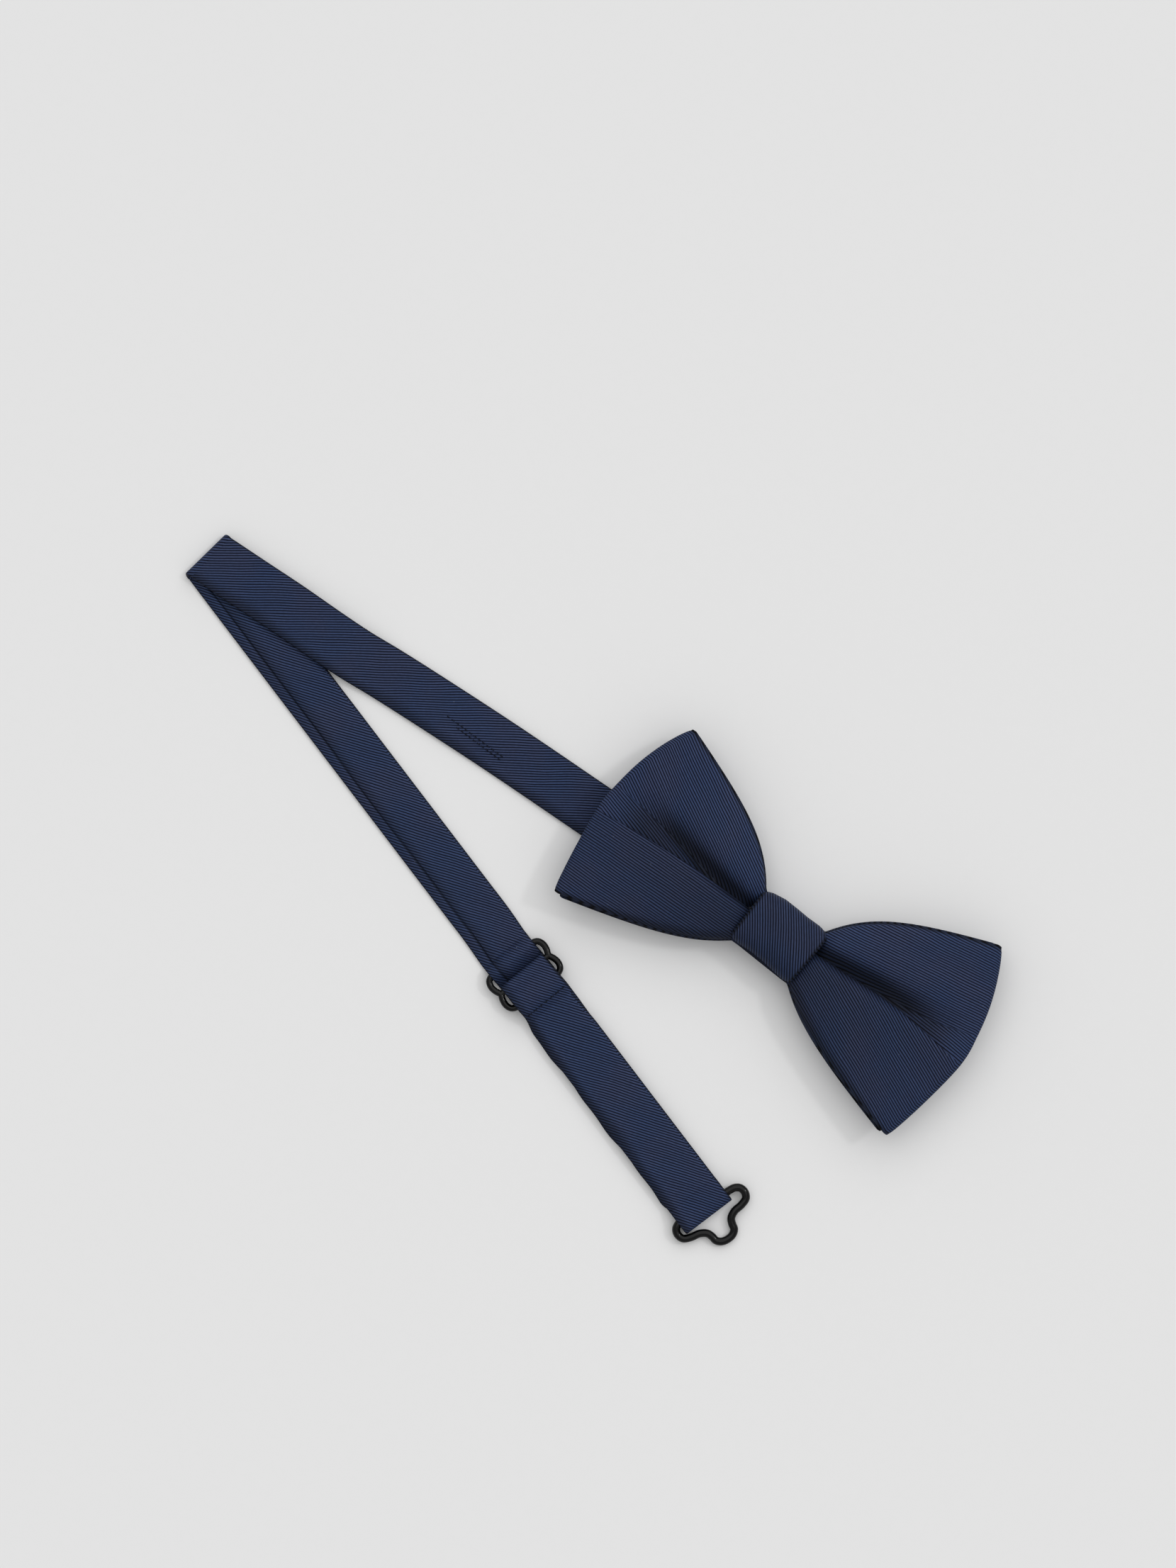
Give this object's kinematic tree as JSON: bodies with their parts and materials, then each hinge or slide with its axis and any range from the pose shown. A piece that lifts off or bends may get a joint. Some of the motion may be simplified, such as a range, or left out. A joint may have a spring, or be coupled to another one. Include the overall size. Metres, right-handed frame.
{
  "type": "bow tie",
  "caption": "Pre-tied ribbed bow tie with a sewn double bow, wrapped knot, folded adjustable neck strap, wire slider, and collar eye and hook.",
  "frame": {"origin": "middle of the knot's flat back, on the surface the bow tie lies on", "axes": "+X along the bow towards the wing over the short tail, +Y across the bow, +Z out of the front of the bow, away from the surface"},
  "size_m": [0.2589, 0.1206, 0.0134],
  "materials": {
    "ribbed_cloth": "navy ribbed twill with a soft sheen",
    "interlining": "matt dark felted interlining",
    "padding": "matt wadding",
    "thread": "dark navy sewing thread",
    "coated_wire": "glossy black coated wire"
  },
  "bodies": {
    "bow": {"rear_bow": "ribbed_cloth", "rear_bow_interlining": "interlining", "front_bow": "ribbed_cloth", "front_bow_interlining": "interlining", "knot_band": "ribbed_cloth", "knot_padding": "padding", "knot_back_stitch": "thread", "strap_upper_leg": "ribbed_cloth", "strap_upper_interlining": "interlining", "strap_tack_stitch": "thread", "tail_end_fold": "ribbed_cloth", "tail_stitch": "thread", "strap_fold_bend": "ribbed_cloth"},
    "hook": {"collar_hook": "coated_wire"},
    "lower_strap": {"strap_lower_leg": "ribbed_cloth", "strap_lower_interlining": "interlining"},
    "slider": {"slider_frame": "coated_wire", "slider_strap_pass": "ribbed_cloth", "slider_hem": "ribbed_cloth", "slider_hem_stitch": "thread", "strap_underlay": "ribbed_cloth", "strap_return": "ribbed_cloth"},
    "eye_end": {"eye_end_fold": "ribbed_cloth"},
    "eye": {"collar_eye": "coated_wire"}
  },
  "joints": [
    {"name": "strap_fold", "type": "hinge", "parent": "bow", "child": "lower_strap", "pos_m": [-0.1938, -0.006, 0.00165], "axis": [0.1736, 0.9848, 0], "range_deg": [0, 180], "deforming": ["strap_fold_bend"]},
    {"name": "strap_adjust", "type": "slide", "parent": "lower_strap", "child": "slider", "axis": [0.9558, -0.294, 0], "range_m": [-0.08, 0.08], "deforming": ["strap_lower_leg", "strap_lower_interlining"]},
    {"name": "eye_travel", "type": "slide", "parent": "slider", "child": "eye_end", "axis": [0.9558, -0.294, 0], "range_m": [-0.04, 0.04], "deforming": ["strap_underlay", "strap_return"]},
    {"name": "eye_pivot", "type": "hinge", "parent": "eye_end", "child": "eye", "pos_m": [0.02791, -0.0733, 0.00235], "axis": [0.3681, 0.9298, 0], "range_deg": [-80, 80]},
    {"name": "hook_pivot", "type": "hinge", "parent": "bow", "child": "hook", "pos_m": [0.0386, 0, 0.00175], "axis": [0, 1, 0], "range_deg": [0, 80]}
  ],
  "couplings": [
    {"joint": "eye_travel", "follows": "strap_adjust", "ratio": -0.5}
  ]
}
